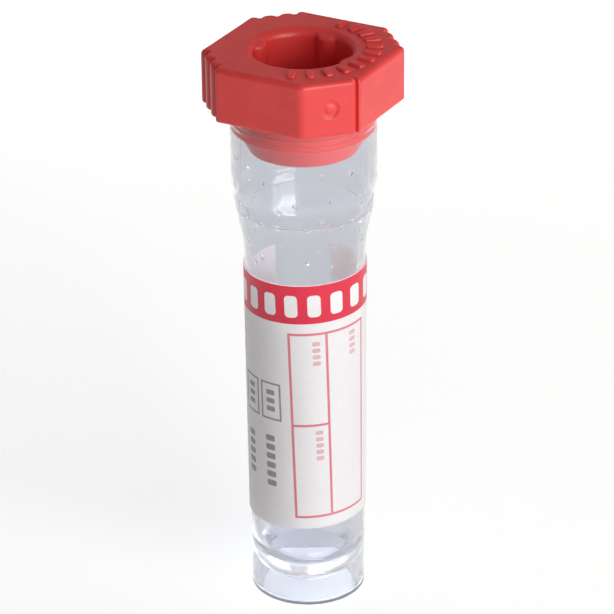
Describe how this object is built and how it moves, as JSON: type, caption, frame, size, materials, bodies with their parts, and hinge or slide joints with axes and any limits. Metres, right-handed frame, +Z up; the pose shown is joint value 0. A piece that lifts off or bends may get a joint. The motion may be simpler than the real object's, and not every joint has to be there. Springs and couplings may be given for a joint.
{
  "type": "blood collection tube",
  "caption": "Small clear capillary tube with a wide collar, tapered neck and skirted foot, closed by a red square plug cap with cut corners, and wrapped in a printed label.",
  "frame": {"origin": "on the tube's axis, in the plane of its foot", "axes": "+Z up along the tube, +X and +Y square to two flats of the cap's head"},
  "size_m": [0.0132, 0.0132, 0.0451],
  "materials": {
    "clear_plastic": "clear polypropylene, smooth moulded gloss with a faint cool haze",
    "red_plastic": "red moulded polyethylene, soft satin gloss with rounded edges",
    "label_paper": "coated white label paper with a red header band and fine red form lines"
  },
  "bodies": {
    "tube_body": {"tube": "clear_plastic", "label": "label_paper"},
    "cap_body": {"cap": "red_plastic"}
  },
  "joints": [
    {"name": "cap_lift", "type": "slide", "parent": "tube_body", "child": "cap_body", "axis": [0, 0, 1], "range_m": [0, 0.012]}
  ]
}
